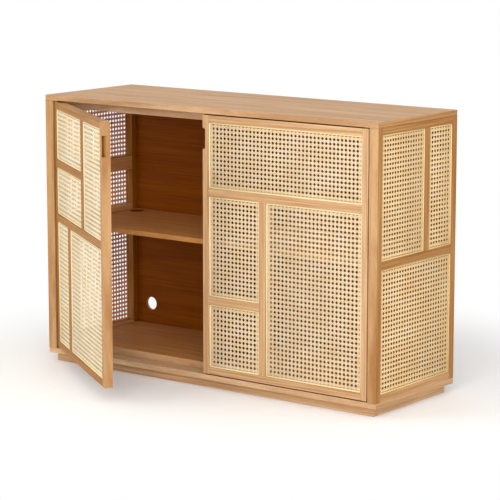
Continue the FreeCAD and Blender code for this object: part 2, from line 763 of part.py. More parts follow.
def build_left_door():
    """Left door: five cane panels about a full main rail, with mullions out of line above and below it."""
    main_bottom, main_top = band(d.left_main_rail)
    short_bottom, short_top = band(d.left_short_rail)
    upper_low, upper_high = band(d.left_upper_mullion)
    lower_low, lower_high = band(d.left_lower_mullion)
    top_left = Cell(d.edge_face, upper_low, short_top, door_high)
    middle_left = Cell(d.edge_face, upper_low, main_top, short_bottom)
    tall_right = Cell(upper_high, stile_end, main_top, door_high)
    low_left = Cell(d.edge_face, lower_low, door_low, main_bottom)
    low_right = Cell(lower_high, stile_end, door_low, main_bottom)
    hinge_stile, meeting_stile = door_edges(
        "left_door", LEFT_DOOR, "_hinge_stile", "_meeting_stile", [low_left, middle_left, top_left],
        [low_right, tall_right], [top_left, tall_right], [low_left, low_right])
    rail("left_door_main_rail", LEFT_DOOR, d.edge_face, stile_end, d.mid_face, d.door_thick, main_bottom,
         under_cells=[low_left, low_right], over_cells=[middle_left, tall_right])
    rail("left_door_short_rail", LEFT_DOOR, d.edge_face, upper_low, d.mid_face, d.door_thick, short_bottom,
         under_cells=[middle_left], over_cells=[top_left])
    upright("left_door_upper_mullion", LEFT_DOOR, upper_low, d.mid_face, d.door_thick, main_top, door_high,
            low_cells=[middle_left, top_left], high_cells=[tall_right], coped=True)
    upright("left_door_lower_mullion", LEFT_DOOR, lower_low, d.mid_face, d.door_thick, door_low, main_bottom,
            low_cells=[low_left], high_cells=[low_right], coped=True)
    cane_panels("left_door", LEFT_DOOR, [top_left, middle_left, tall_right, low_left, low_right])
    hang("left_door", LEFT_DOOR, hinge_stile, d.pivot_in, d.pivot_in)
    meeting_edge = d.ledge + d.edge_face
    finger_pull(meeting_stile, meeting_edge, -1, door_bottom)
    fit_strike("left_door", LEFT_DOOR, meeting_stile, door_width - strike_inset, meeting_edge - strike_inset)


def build_right_door():
    """Right door: a wide cane panel on top, and below it a tall one beside two stacked narrow ones."""
    main_bottom, main_top = band(d.right_main_rail)
    short_bottom, short_top = band(d.right_short_rail)
    mullion_low, mullion_high = band(d.right_mullion)
    wide_top = Cell(d.edge_face, stile_end, main_top, door_high)
    upper_left = Cell(d.edge_face, mullion_low, short_top, main_bottom)
    lower_left = Cell(d.edge_face, mullion_low, door_low, short_bottom)
    tall_right = Cell(mullion_high, stile_end, door_low, main_bottom)
    meeting_stile, hinge_stile = door_edges(
        "right_door", RIGHT_DOOR, "_meeting_stile", "_hinge_stile", [lower_left, upper_left, wide_top],
        [tall_right, wide_top], [wide_top], [lower_left, tall_right])
    rail("right_door_main_rail", RIGHT_DOOR, d.edge_face, stile_end, d.mid_face, d.door_thick, main_bottom,
         under_cells=[upper_left, tall_right], over_cells=[wide_top])
    rail("right_door_short_rail", RIGHT_DOOR, d.edge_face, mullion_low, d.mid_face, d.door_thick,
         short_bottom, under_cells=[lower_left], over_cells=[upper_left])
    upright("right_door_mullion", RIGHT_DOOR, mullion_low, d.mid_face, d.door_thick, door_low, main_bottom,
            low_cells=[lower_left, upper_left], high_cells=[tall_right], coped=True)
    cane_panels("right_door", RIGHT_DOOR, [wide_top, upper_left, lower_left, tall_right])
    hang("right_door", RIGHT_DOOR, hinge_stile, door_width - d.pivot_in, d.ledge + d.edge_face - d.pivot_in)
    finger_pull(meeting_stile, ZERO, 1, door_bottom)
    fit_strike("right_door", RIGHT_DOOR, meeting_stile, strike_inset, strike_inset)


build_left_door()
build_right_door()
doc.recompute()

# Every object has to be sound, every cut has to remove something, and every piece has to be a valid solid
for item in doc.Objects:
    if {"Invalid", "Error"} & set(item.State):
        raise RuntimeError("%s failed to build" % item.Label)
    if item.TypeId == "PartDesign::Pocket" and not item.Shape.Volume < item.BaseFeature.Shape.Volume:
        raise RuntimeError("%s removes nothing" % item.Label)
for piece in NODES:
    if piece.Shape.isNull() or not piece.Shape.isValid() or not piece.Shape.Solids:
        raise RuntimeError("%s is not a valid solid" % piece.Label)

os.makedirs("parts", exist_ok=True)
for piece in NODES:
    piece.Shape.exportStep("parts/%s.step" % piece.Label)
print("%d nodes, %d solids" % (len(NODES), sum(len(piece.Shape.Solids) for piece in NODES)))
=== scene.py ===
"""Looks of a cane-fronted sideboard: oak frames, woven cane, reed splines and a plain studio.

Sizes in the classes of the cabinet are millimetres, those of the studio metres. Meshes are metres,
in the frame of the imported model.
"""

import json
import logging
import math
import random
from dataclasses import dataclass, field
from enum import Enum

import bmesh
import bpy
from mathutils import Matrix, Vector

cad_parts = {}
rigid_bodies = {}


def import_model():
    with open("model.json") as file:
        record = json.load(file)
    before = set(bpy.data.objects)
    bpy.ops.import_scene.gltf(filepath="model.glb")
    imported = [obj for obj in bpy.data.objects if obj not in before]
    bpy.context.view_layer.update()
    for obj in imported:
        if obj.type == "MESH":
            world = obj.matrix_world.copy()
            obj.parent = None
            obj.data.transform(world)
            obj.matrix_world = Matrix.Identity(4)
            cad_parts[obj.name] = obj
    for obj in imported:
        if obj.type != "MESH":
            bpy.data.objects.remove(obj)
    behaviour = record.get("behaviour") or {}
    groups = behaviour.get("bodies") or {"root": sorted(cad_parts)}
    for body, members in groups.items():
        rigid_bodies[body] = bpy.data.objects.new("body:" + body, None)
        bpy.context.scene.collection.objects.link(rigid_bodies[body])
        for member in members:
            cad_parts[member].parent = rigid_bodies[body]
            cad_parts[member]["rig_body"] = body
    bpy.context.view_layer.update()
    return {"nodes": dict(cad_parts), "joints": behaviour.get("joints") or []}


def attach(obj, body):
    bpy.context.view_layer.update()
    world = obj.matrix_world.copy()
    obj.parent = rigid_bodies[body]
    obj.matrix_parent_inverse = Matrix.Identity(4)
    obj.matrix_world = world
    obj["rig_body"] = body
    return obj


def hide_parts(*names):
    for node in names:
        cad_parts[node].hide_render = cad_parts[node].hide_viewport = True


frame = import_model()

MM = 0.001
WHITE = (1.0, 1.0, 1.0, 1.0)
SEED = 7
# Corners of a solid that lie closer are one corner, and faces that bend less are one face.
WELD_MM = 0.005
FLAT_DEGREES = 0.5
# Decimals of a metre by which separate solids are put in order.
ORDER_DECIMALS = 4
# Length of vine, in metres, of which every strand takes its own stretch.
VINE = 9
LOG = logging.getLogger("sideboard")

Material = bpy.types.Material
Tree = bpy.types.NodeTree
Node = bpy.types.Node
Socket = bpy.types.NodeSocket
Mesh = bmesh.types.BMesh
Layer = bmesh.types.BMLayerItem
Verts = list[bmesh.types.BMVert]
Input = Socket | float | tuple[float, ...]
Span = tuple[float, float]
Sizes = tuple[float, float, float]
Box = tuple[Vector, Vector]
Station = tuple[float, float]
Direction = tuple[int, int, int]
Shade = tuple[Direction, float]


class Grain(Enum):
    """Axes of a board: along its fibres, then across its face, then through it."""

    FLAT = (0, 1, 2)
    ALONG = (0, 2, 1)
    INWARD = (1, 2, 0)
    UPRIGHT = (2, 0, 1)


class Facing(Enum):
    """Turn about the upright axis that carries a wall drawn facing the front to where it looks."""

    FRONT = 0.0
    RIGHT = 90.0
    LEFT = -90.0


class Oak(Enum):
    """Oak: clear lacquer outside; darker, redder oak inside and veneer in the bays, as painted
    shade.
    """

    LACQUERED = "lacquered"
    OILED = "oiled"
    VENEER = "veneer"


class Peel(Enum):
    """Lots of cane that differ in tone, one to a wall; warm is painted shade, pale painted light.
    """

    PLAIN = "plain"
    RIPE = "ripe"
    PALE = "pale"


def linear(hex_colour: str) -> tuple[float, float, float, float]:
    """Turns a colour as the eye names it into the light that a shader mixes.

    Args:
        hex_colour: sRGB colour such as "d5a370".

    Returns:
        Linear red, green, blue and an alpha of 1.
    """
    parts = [int(hex_colour[i:i + 2], 16) / 255 for i in (0, 2, 4)]
    red, green, blue = (p / 12.92 if p <= 0.04045 else ((p + 0.055) / 1.055) ** 2.4 for p in parts)
    return red, green, blue, 1.0


def per_mm(*sizes: float) -> tuple[float, ...]:
    """Scales that make one cycle of a pattern as long as each of these sizes in millimetres."""
    return tuple(1 / (size * MM) for size in sizes)


def add_node(tree: Tree, kind: str, inputs: dict | None = None, **settings: object) -> Node:
    """Adds one shader node with its settings and links.

    Args:
        tree: Node tree that gets the node.
        kind: Node type without its "ShaderNode" prefix.
        inputs: Values or source sockets, by input name or number.
        **settings: Properties of the node itself.

    Returns:
        The new node.
    """
    node = tree.nodes.new("ShaderNode" + kind)
    for key, value in settings.items():
        setattr(node, key, value)
    for key, value in (inputs or {}).items():
        if isinstance(value, Socket):
            tree.links.new(value, node.inputs[key])
        else:
            node.inputs[key].default_value = value
    return node


def attribute(tree: Tree, name: str, output: str = "Fac") -> Socket:
    """Reads what a mesh says under this name at each of its points."""
    return add_node(tree, "Attribute", attribute_name=name).outputs[output]


def combine(tree: Tree, operation: str, first: Input, second: Input) -> Socket:
    """Works out one number from two."""
    return add_node(tree, "Math", {0: first, 1: second}, operation=operation).outputs[0]


def mix(tree: Tree, factor: Input, first: Input, second: Input) -> Socket:
    """Mixes two colours, where a factor of 0 is the first and 1 the second."""
    node = add_node(tree, "Mix", {0: factor, 6: first, 7: second}, data_type="RGBA")
    return node.outputs[2]


def remap(tree: Tree, value: Input, span: Span = (0.0, 1.0), onto: Span = (0.0, 1.0),
          **settings: object) -> Socket:
    """Carries values from one span onto another."""
    ends = {"From Min": span[0], "From Max": span[1], "To Min": onto[0], "To Max": onto[1]}
    return add_node(tree, "MapRange", {"Value": value, **ends}, **settings).outputs[0]


def stretched(tree: Tree, place: Socket, sizes: Sizes) -> Socket:
    """Coordinates in which a pattern's cycle is as long as each of these sizes in millimetres."""
    return add_node(tree, "Mapping", {"Vector": place, "Scale": per_mm(*sizes)}).outputs[0]


def noise(tree: Tree, place: Socket, detail: float, scale: float = 1.0, **inputs: float) -> Socket:
    """Samples a soft random pattern."""
    node = add_node(tree, "TexNoise", {"Vector": place, "Scale": scale, "Detail": detail, **inputs})
    return node.outputs[0]


def bumped(tree: Tree, height: Socket, strength: float, size: float) -> Socket:
    """Normals of a surface with a fine relief, whose height is given in millimetres."""
    inputs = {"Height": height, "Strength": strength, "Distance": size * MM}
    return add_node(tree, "Bump", inputs).outputs[0]


def new_material(name: str) -> tuple[Material, Tree, Node]:
    """Starts a material.

    Args:
        name: Common name of the real material.

    Returns:
        The material, its emptied node tree and its output node.
    """
    material = bpy.data.materials.new(name)
    material.use_nodes = True
    tree = material.node_tree
    tree.nodes.clear()
    return material, tree, add_node(tree, "OutputMaterial")


def coat(tree: Tree, output: Node, inputs: dict) -> None:
    """Gives a material its surface, with these inputs of the shader."""
    shader = add_node(tree, "BsdfPrincipled", inputs)
    tree.links.new(shader.outputs[0], output.inputs["Surface"])


@dataclass(frozen=True)
class LacqueredOak:
    """Pale oak, planed and brushed, under a satin clear lacquer.

    Brushing leaves long fine lines and open pores along the fibres. The lacquer gives a soft wide
    gloss. Gaps and inner corners are browned by ambient occlusion: a painted shade.
    """

    name: str = "lacquered_oak"
    light: str = "edc698"
    mid: str = "dcae7a"
    dark: str = "a5703c"
    pore: str = "8a5a2e"
    corner: str = "5c3212"
    corner_shade_mm: float = 12.0
    corner_shade_samples: int = 8
    # Openness at which a corner gets the full painted shade, and at which it gets none.
    corner_shade_span: Span = (0.0, 0.6)
    # Broad bands of early and late wood, the lines between them, and the short open pores.
    band_mm: Sizes = (900.0, 30.0, 120.0)
    band_span: Span = (0.3, 0.7)
    # Real lines are about 1 mm apart. They are drawn at 5 mm so that they show at the distance of
    # the camera. The logs were cut so that the growth rings stand upright in the boards.
    line_mm: Sizes = (260.0, 5.0, 40.0)
    line_span: Span = (0.36, 0.64)
    line_strength: float = 0.64
    pore_mm: Sizes = (16.0, 0.8, 0.8)
    pore_span: Span = (0.62, 0.72)
    pore_strength: float = 0.4
    # Detail of the bands, lines and pores, and what their noise has in common.
    details: Sizes = (2.0, 5.0, 1.0)
    noise_roughness: float = 0.6
    noise_bend: float = 0.3
    relief_strength: float = 0.25
    relief_mm: float = 0.2
    gloss: float = 0.14
    roughness: Span = (0.45, 0.62)
    # Dark boards are deeper and a little redder in colour than light ones. Where a low tone is
    # painted shade, this paints the redder colour of wood in shade too.
    value: Span = (0.36, 0.92)
    saturation: Span = (1.4, 0.9)
    hue: Span = (0.488, 0.5)

    def material(self) -> Material:
        """Builds the oak, which reads each board's own grain coordinates and tone."""
        material, tree, output = new_material(self.name)
        grain = attribute(tree, "grain", "Vector")
        tone = attribute(tree, "tone")
        band, line, pore = (
            noise(tree, stretched(tree, grain, sizes), detail,
                  Roughness=self.noise_roughness, Distortion=self.noise_bend)
            for sizes, detail in zip((self.band_mm, self.line_mm, self.pore_mm), self.details))
        pores = remap(tree, pore, self.pore_span)
        bands = remap(tree, band, self.band_span)
        lines = remap(tree, line, self.line_span)
        banded = mix(tree, bands, linear(self.mid), linear(self.light))
        lined = mix(tree, lines, linear(self.dark), banded)
        soft = mix(tree, self.line_strength, banded, lined)
        filled = combine(tree, "MULTIPLY", pores, self.pore_strength)
        pored = mix(tree, filled, soft, linear(self.pore))
        # Tones run from 0 to 1. The value alone follows them past either end.
        toned = add_node(tree, "HueSaturation", {
            "Hue": remap(tree, tone, onto=self.hue),
            "Saturation": remap(tree, tone, onto=self.saturation),
            "Value": remap(tree, tone, onto=self.value, clamp=False),
            "Color": pored,
        })
        # Painted shade: ambient occlusion browns gaps and inner corners, where light falls off.
        occlusion = add_node(tree, "AmbientOcclusion", {"Distance": self.corner_shade_mm * MM},
                            samples=self.corner_shade_samples)
        unshaded = remap(tree, occlusion.outputs["AO"], self.corner_shade_span)
        relief = combine(tree, "SUBTRACT", line, pores)
        coat(tree, output, {
            "Base Color": mix(tree, unshaded, linear(self.corner), toned.outputs[0]),
            "Roughness": remap(tree, line, onto=self.roughness),
            "Specular IOR Level": self.gloss,
            "Normal": bumped(tree, relief, self.relief_strength, self.relief_mm),
        })
        return material


@dataclass(frozen=True)
class PeeledCane:
    """Rattan peel, the vine's skin cut to strands, and reed, its core drawn to rods, left natural.

    The peel keeps a faint waxy gloss and long fibres. Every strand comes off the vine in its own
    straw tone. The back of a strand is darker and browner than its face: painted shade for the side
    that looks into the dark inside.
    """

    name: str = "peeled_cane"
    light: str = "ffe9c6"
    dark: str = "f8d5a2"
    back_shade: str = "94663c"
    fibre_mm: Sizes = (45.0, 0.7, 0.7)
    fibre_detail: float = 3.0
    patch_mm: float = 60.0
    patch_detail: float = 2.0
    blend_span: Span = (0.35, 1.1)
    relief_strength: float = 0.2
    relief_mm: float = 0.1
    ior: float = 1.5
    roughness: float = 0.42

    def material(self) -> Material:
        """Builds the cane, which reads each strand's own grain coordinates and tone."""
        material, tree, output = new_material(self.name)
        grain = attribute(tree, "grain", "Vector")
        place = add_node(tree, "TexCoord").outputs["Object"]
        fibre = noise(tree, stretched(tree, grain, self.fibre_mm), self.fibre_detail)
        patch = noise(tree, place, self.patch_detail, *per_mm(self.patch_mm))
        strand = combine(tree, "MULTIPLY", attribute(tree, "tone"), fibre)
        blend = remap(tree, combine(tree, "ADD", strand, patch), self.blend_span)
        skin = mix(tree, blend, linear(self.light), linear(self.dark))
        coat(tree, output, {
            "Base Color": mix(tree, attribute(tree, "back_shade"), skin, linear(self.back_shade)),
            "Roughness": self.roughness,
            "IOR": self.ior,
            "Normal": bumped(tree, fibre, self.relief_strength, self.relief_mm),
        })
        return material


@dataclass(frozen=True)
class TurnedMetal:
    """Small turned or stamped metal: tool marks round the part and a little tarnish."""

    name: str
    bright: str
    dull: str
    metallic: float = 1.0
    roughness: Span = (0.25, 0.45)
    mark_mm: float = 0.8
    mark_detail: float = 2.0
    stain_mm: float = 6.0
    stain_detail: float = 3.0
    relief_strength: float = 0.1
    relief_mm: float = 0.05

    def material(self) -> Material:
        """Builds the metal on Object coordinates."""
        material, tree, output = new_material(self.name)
        place = add_node(tree, "TexCoord").outputs["Object"]
        stain = noise(tree, place, self.stain_detail, *per_mm(self.stain_mm))
        marks = noise(tree, place, self.mark_detail, *per_mm(self.mark_mm))
        coat(tree, output, {
            "Base Color": mix(tree, stain, linear(self.bright), linear(self.dull)),
            "Metallic": self.metallic,
            "Roughness": remap(tree, marks, onto=self.roughness),
            "Normal": bumped(tree, marks, self.relief_strength, self.relief_mm),
        })
        return material


@dataclass(frozen=True)
class TurnedBeech:
    """Plain beech dowel rod: pale pink wood with short darker flecks, no finish."""

    name: str = "turned_beech"
    light: str = "dcb48a"
    dark: str = "b98a5e"
    fleck_mm: Sizes = (1.5, 1.5, 12.0)
    fleck_detail: float = 3.0
    roughness: float = 0.7

    def material(self) -> Material:
        """Builds the beech on Object coordinates."""
        material, tree, output = new_material(self.name)
        place = add_node(tree, "TexCoord").outputs["Object"]
        fleck = noise(tree, stretched(tree, place, self.fleck_mm), self.fleck_detail)
        coat(tree, output, {
            "Base Color": mix(tree, fleck, linear(self.light), linear(self.dark)),
            "Roughness": self.roughness,
        })
        return material


REED = {"fibre_mm": (60.0, 1.0, 1.0), "patch_mm": 90.0, "roughness": 0.5}


def made(finish: LacqueredOak | PeeledCane | TurnedMetal | TurnedBeech) -> Material:
    """Field for the material of a finish, which is built together with the others."""
    return field(default_factory=finish.material)


@dataclass
class Finishes:
    """The finishes of the whole cabinet, each made once, and the one source of chance."""

    oak: Material = made(LacqueredOak())
    # Darker, redder oak and veneer for the inside: their colour is painted shade of the bays.
    oiled: Material = made(LacqueredOak("shade_darkened_oak", "e09c50", "d49044", "aa6c2c", "845020"))
    veneer: Material = made(
        LacqueredOak("shade_darkened_oak_veneer", "c3824e", "b37242", "8c5224", "68381a"))
    cane: Material = made(PeeledCane())
    # The warm cane and reed are painted shade for the sides; the pale cane is painted light for the
    # left door, which turns away from the lamps.
    warm_shade_cane: Material = made(PeeledCane("warm_shade_peeled_cane", "ffe4b4", "fad090", "ee9c4c"))
    pale_cane: Material = made(PeeledCane("pale_peeled_cane", "fff5d6", "fde4b6"))
    reed: Material = made(PeeledCane("drawn_reed", "f6e4b4", "ead198", **REED))
    warm_shade_reed: Material = made(PeeledCane("warm_shade_drawn_reed", "ead09a", "d8b678", **REED))
    brass: Material = made(TurnedMetal("turned_brass", "9c7c42", "6c522a", roughness=(0.4, 0.6)))
    steel: Material = made(TurnedMetal("nickel_plated_steel", "cfcbc4", "a9a59e"))
    ferrite: Material = made(TurnedMetal("pressed_ferrite", "2c2b2d", "1b1a1c", 0.0, (0.5, 0.7)))
    beech: Material = made(TurnedBeech())
    chance: random.Random = field(default_factory=lambda: random.Random(SEED))

    def oak_of(self, oak: Oak) -> Material:
        """Oak of one finish."""
        return {Oak.LACQUERED: self.oak, Oak.OILED: self.oiled, Oak.VENEER: self.veneer}[oak]

    def cane_of(self, peel: Peel) -> Material:
        """Cane of one lot."""
        return {Peel.PLAIN: self.cane, Peel.RIPE: self.warm_shade_cane, Peel.PALE: self.pale_cane}[peel]

    def reed_of(self, peel: Peel) -> Material:
        """Reed that goes with one lot of cane."""
        return self.warm_shade_reed if peel is Peel.RIPE else self.reed


def rest_turn(body: str) -> Matrix:
    """Turn that carries a door from shut to where it stands at rest.

    Args:
        body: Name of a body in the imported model.

    Returns:
        The turn about the door's own hinge, or no turn for the carcass.
    """
    for joint in frame["joints"]:
        if joint["child"] == body:
            to_pivot = Matrix.Translation(joint["pos_m"])
            shut = math.radians(joint["range_deg"][0])
            swing = Matrix.Rotation(-shut, 4, Vector(joint["axis"]))
            return to_pivot @ swing @ to_pivot.inverted()
    return Matrix.Identity(4)


def body_of(node: str) -> str:
    """Body that carries a CAD node."""
    return frame["nodes"][node]["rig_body"]


def merged_copy(node: str, place: Matrix) -> Mesh:
    """Copies a CAD solid into the frame in which its wall is drawn.

    Args:
        node: CAD node to copy.
        place: Place of that frame in the model.

    Returns:
        The copy, with its loose triangles joined and flat faces made whole.
    """
    bm = bmesh.new()
    bm.from_mesh(frame["nodes"][node].data)
    bmesh.ops.remove_doubles(bm, verts=bm.verts, dist=WELD_MM * MM)
    bmesh.ops.dissolve_limit(bm, angle_limit=math.radians(FLAT_DEGREES),
                             verts=bm.verts, edges=bm.edges)
    bmesh.ops.transform(bm, matrix=place.inverted(), verts=bm.verts)
    return bm


def loose_boxes(node: str, place: Matrix) -> list[Box]:
    """Boxes of the separate solids of a CAD node.

    Args:
        node: CAD node that holds several solids.
        place: Place of the frame in which the boxes are wanted.

    Returns:
        Lowest and highest corner of each solid, in order of height and then along the wall.
    """
    bm = merged_copy(node, place)
    waiting = set(bm.verts)
    boxes = []
    while waiting:
        reached = [waiting.pop()]
        for vert in reached:
            near = {edge.other_vert(vert) for edge in vert.link_edges} & waiting
            waiting -= near
            reached.extend(near)
        axes = [[vert.co[i] for vert in reached] for i in range(3)]
        boxes.append((Vector([min(a) for a in axes]), Vector([max(a) for a in axes])))
    bm.free()
    return sorted(boxes, key=lambda box: [round(box[0][i], ORDER_DECIMALS) for i in (2, 0)])


def bevel(bm: Mesh, edges: list[bmesh.types.BMEdge], offset: float, segments: int) -> None:
    """Rounds edges off and shades the rounding smooth; the offset is in the mesh's own unit."""
    rounded = bmesh.ops.bevel(bm, geom=edges, offset=offset, offset_type="OFFSET",
                              segments=segments, profile=0.5, affect="EDGES", material=-1,
                              clamp_overlap=True)
    for face in rounded["faces"]:
        face.smooth = True


def add_layers(bm: Mesh) -> tuple[Layer, Layer]:
    """Adds the layers for each vertex's grain coordinates and tone."""
    return bm.verts.layers.float_vector.new("grain"), bm.verts.layers.float.new("tone")


def layers_of(bm: Mesh) -> tuple[Layer, Layer]:
    """The layers for each vertex's grain coordinates and tone."""
    return bm.verts.layers.float_vector["grain"], bm.verts.layers.float["tone"]


def own_stretch(chance: random.Random) -> Vector:
    """Start of a strand's own stretch of the vine."""
    return Vector((chance.uniform(0, VINE), chance.uniform(0, VINE), 0))


def set_in(bm: Mesh, box: Box, depth: float = 0.0) -> None:
    """Carries what is drawn in millimetres to the middle of a box, so deep behind its face."""
    low, high = box
    middle = Vector(((low.x + high.x) / 2, low.y + depth * MM, (low.z + high.z) / 2))
    place = Matrix.Translation(middle) @ Matrix.Scale(MM, 4)
    bmesh.ops.transform(bm, matrix=place, verts=bm.verts)


def finish_piece(bm: Mesh, name: str, body: str, material: Material,
                 nodes: list[str]) -> bpy.types.Object:
    """Turns a finished bmesh into a piece of the model.

    Args:
        bm: The mesh, in place in the model; it is freed.
        name: Name of the piece.
        body: Body that carries it.
        material: Its finish.
        nodes: CAD nodes that it stands for.

    Returns:
        The new object.
    """
    mesh = bpy.data.meshes.new(name)
    bm.to_mesh(mesh)
    bm.free()
    mesh.materials.append(material)
    piece = bpy.data.objects.new(name, mesh)
    bpy.context.scene.collection.objects.link(piece)
    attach(piece, body)
    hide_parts(*nodes)
    LOG.info("%s: %d faces on %s", name, len(mesh.polygons), body)
    return piece


def keep_node(node: str, material: Material) -> None:
    """Leaves a CAD node as it is and gives it its finish."""
    for place in frame["nodes"][node].material_slots:
        place.material = material
    LOG.info("%s: kept from the solids", node)


@dataclass
class Timber:
    """One oak board or frame member: its CAD solid with eased arrises, and grain along it."""

    node: str
    grain: Grain
    place: Matrix = field(default_factory=lambda: Matrix.Identity(4))
    tones: Span = (0.86, 1.0)
    oak: Oak = Oak.LACQUERED
    # Faces that look in a given direction, with a tone of their own: painted light and shade on the
    # posts, the walls' inner faces and the divider, and darker lipping on the ends of the outer
    # boards.
    shades: tuple[Shade, ...] = ()
    lipped: bool = False
    # Faces that look inward get the darker oak, a painted shade of the inside.
    inside: Direction | None = None
    inner_shade: Oak = Oak.OILED
    # Least cosine between a face in the painted-shade oak and the inward direction.
    inner_shade_limit: float = 0.9
    ease: float = 0.5
    ease_segments: int = 2
    sharp_angle: float = 50.0
    # Length of log, in metres, of which every board takes its own stretch.
    log_length: float = 20.0
    # The walls of a hole stand off the board's edges, and are steeper than this.
    edge: float = 3.0
    wall_limit: float = 0.5
    # Painted shade in holes and the finger pull's cove: tones below 0 are darker than any board.
    hole_shade_tone: float = -0.4
    pull_shade_tone: float = 0.0
    pull_heights: Span = (684.0, 744.6)
    pull_depths: Span = (10.5, 16.0)

    def build(self, finishes: Finishes) -> None:
        """Makes the eased copy and puts it in the solid's place.

        Args:
            finishes: Finishes of the cabinet.
        """
        bm = merged_copy(self.node, self.place)
        limit = math.radians(self.sharp_angle)
        arrises = [edge for edge in bm.edges if edge.is_manifold and edge.calc_face_angle() > limit]
        bevel(bm, arrises, self.ease * MM, self.ease_segments)
        self.lay_grain(bm, finishes.chance)
        bmesh.ops.transform(bm, matrix=self.place, verts=bm.verts)
        if self.inside:
            bm.normal_update()
            inward = Vector(self.inside)
            for face in bm.faces:
                face.material_index = int(face.normal.dot(inward) > self.inner_shade_limit)
        piece = finish_piece(bm, self.node + "_timber", body_of(self.node),
                             finishes.oak_of(self.oak), [self.node])
        if self.inside:
            piece.data.materials.append(finishes.oak_of(self.inner_shade))

    def lay_grain(self, bm: Mesh, chance: random.Random) -> None:
        """Gives the board its own stretch of the log.

        Args:
            bm: The board, in its wall's frame.
            chance: Source of the stretch and of the board's tone.
        """
        grain, tone = add_layers(bm)
        start = Vector([chance.uniform(0, self.log_length) for _ in range(3)])
        shade = chance.uniform(*self.tones)
        for vert in bm.verts:
            vert[grain] = start + Vector([vert.co[i] for i in self.grain.value])
            vert[tone] = shade
        for direction, shade in self.shades:
            outward = self.place.to_3x3().inverted() @ Vector(direction)
            reach = max(vert.co.dot(outward) for vert in bm.verts) - self.ease * MM / 2
            for vert in bm.verts:
                if vert.co.dot(outward) > reach:
                    vert[tone] = shade
                    if self.lipped:
                        vert[grain] = start + Vector([vert.co[i] for i in Grain.INWARD.value])
        if self.oak is Oak.OILED:
            self.shade_holes(bm)
        if self.node.endswith("meeting_stile"):
            self.shade_pull(bm)

    def shade_holes(self, bm: Mesh) -> None:
        """Darkens the walls of holes in the board: painted shade inside the bore."""
        _, tone = layers_of(bm)
        axes = [[vert.co[i] for vert in bm.verts] for i in range(3)]
        spans = [(min(axis), max(axis)) for axis in axes]
        thin, *wide = sorted(range(3), key=lambda i: spans[i][1] - spans[i][0])
        edge = self.edge * MM
        for face in bm.faces:
            middle = face.calc_center_median()
            inside = all(spans[i][0] + edge < middle[i] < spans[i][1] - edge for i in wide)
            if inside and abs(face.normal[thin]) < self.wall_limit:
                for vert in face.verts:
                    vert[tone] = self.hole_shade_tone

    def shade_pull(self, bm: Mesh) -> None:
        """Darkens the depth of the finger pull's cove: painted shade in the recess."""
        _, tone = layers_of(bm)
        low, high = self.pull_heights
        near, far = self.pull_depths
        tip = min((vert.co.x for vert in bm.verts), key=abs)
        for vert in bm.verts:
            depth = abs(vert.co.x - tip)
            if low * MM < vert.co.z < high * MM and near * MM < depth < far * MM:
                vert[tone] = self.pull_shade_tone


